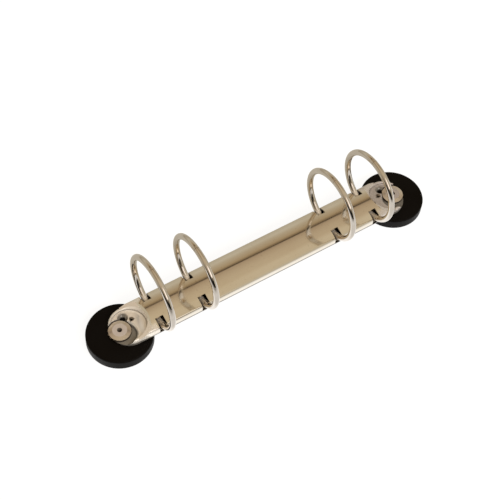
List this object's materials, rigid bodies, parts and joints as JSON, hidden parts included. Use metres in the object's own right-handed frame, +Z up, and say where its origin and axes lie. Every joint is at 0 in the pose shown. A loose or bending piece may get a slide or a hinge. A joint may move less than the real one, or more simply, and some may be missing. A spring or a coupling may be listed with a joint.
{
  "type": "ring binder mechanism",
  "caption": "Long arched cover over hinge blades, with split round rings that part to open, standing on round rubber feet held by hollow posts.",
  "frame": {"origin": "on the ground, midway between the two feet", "axes": "+X along the mechanism from the left foot to the right foot, +Y towards the far row of half rings, +Z up through the rings"},
  "size_m": [0.1742, 0.0356, 0.0417],
  "materials": {
    "nickel_sheet": "warm nickel plate, polished with fine drawing lines",
    "blade_steel": "plain plated strip",
    "ring_wire": "bright nickel plated wire",
    "foot_black": "matte black",
    "washer_steel": "plain zinc plate",
    "post_metal": "turned and nickel plated"
  },
  "bodies": {
    "base": {"cover": "nickel_sheet", "left_foot": "foot_black", "left_washer": "washer_steel", "left_lock_washer": "washer_steel", "left_post": "post_metal", "left_head": "post_metal", "right_foot": "foot_black", "right_washer": "washer_steel", "right_lock_washer": "washer_steel", "right_post": "post_metal", "right_head": "post_metal"},
    "near_side": {"near_blade": "blade_steel", "near_half_1": "ring_wire", "near_half_2": "ring_wire", "near_half_3": "ring_wire", "near_half_4": "ring_wire"},
    "far_side": {"far_blade": "blade_steel", "far_half_1": "ring_wire", "far_half_2": "ring_wire", "far_half_3": "ring_wire", "far_half_4": "ring_wire"}
  },
  "joints": [
    {"name": "near_swing", "type": "hinge", "parent": "base", "child": "near_side", "pos_m": [0, -0.008, 0.0068], "axis": [1, 0, 0], "range_deg": [0, 9]},
    {"name": "far_swing", "type": "hinge", "parent": "base", "child": "far_side", "pos_m": [0, 0.008, 0.0068], "axis": [-1, 0, 0], "range_deg": [0, 9]}
  ],
  "couplings": [
    {"joint": "far_swing", "follows": "near_swing", "ratio": 1}
  ]
}
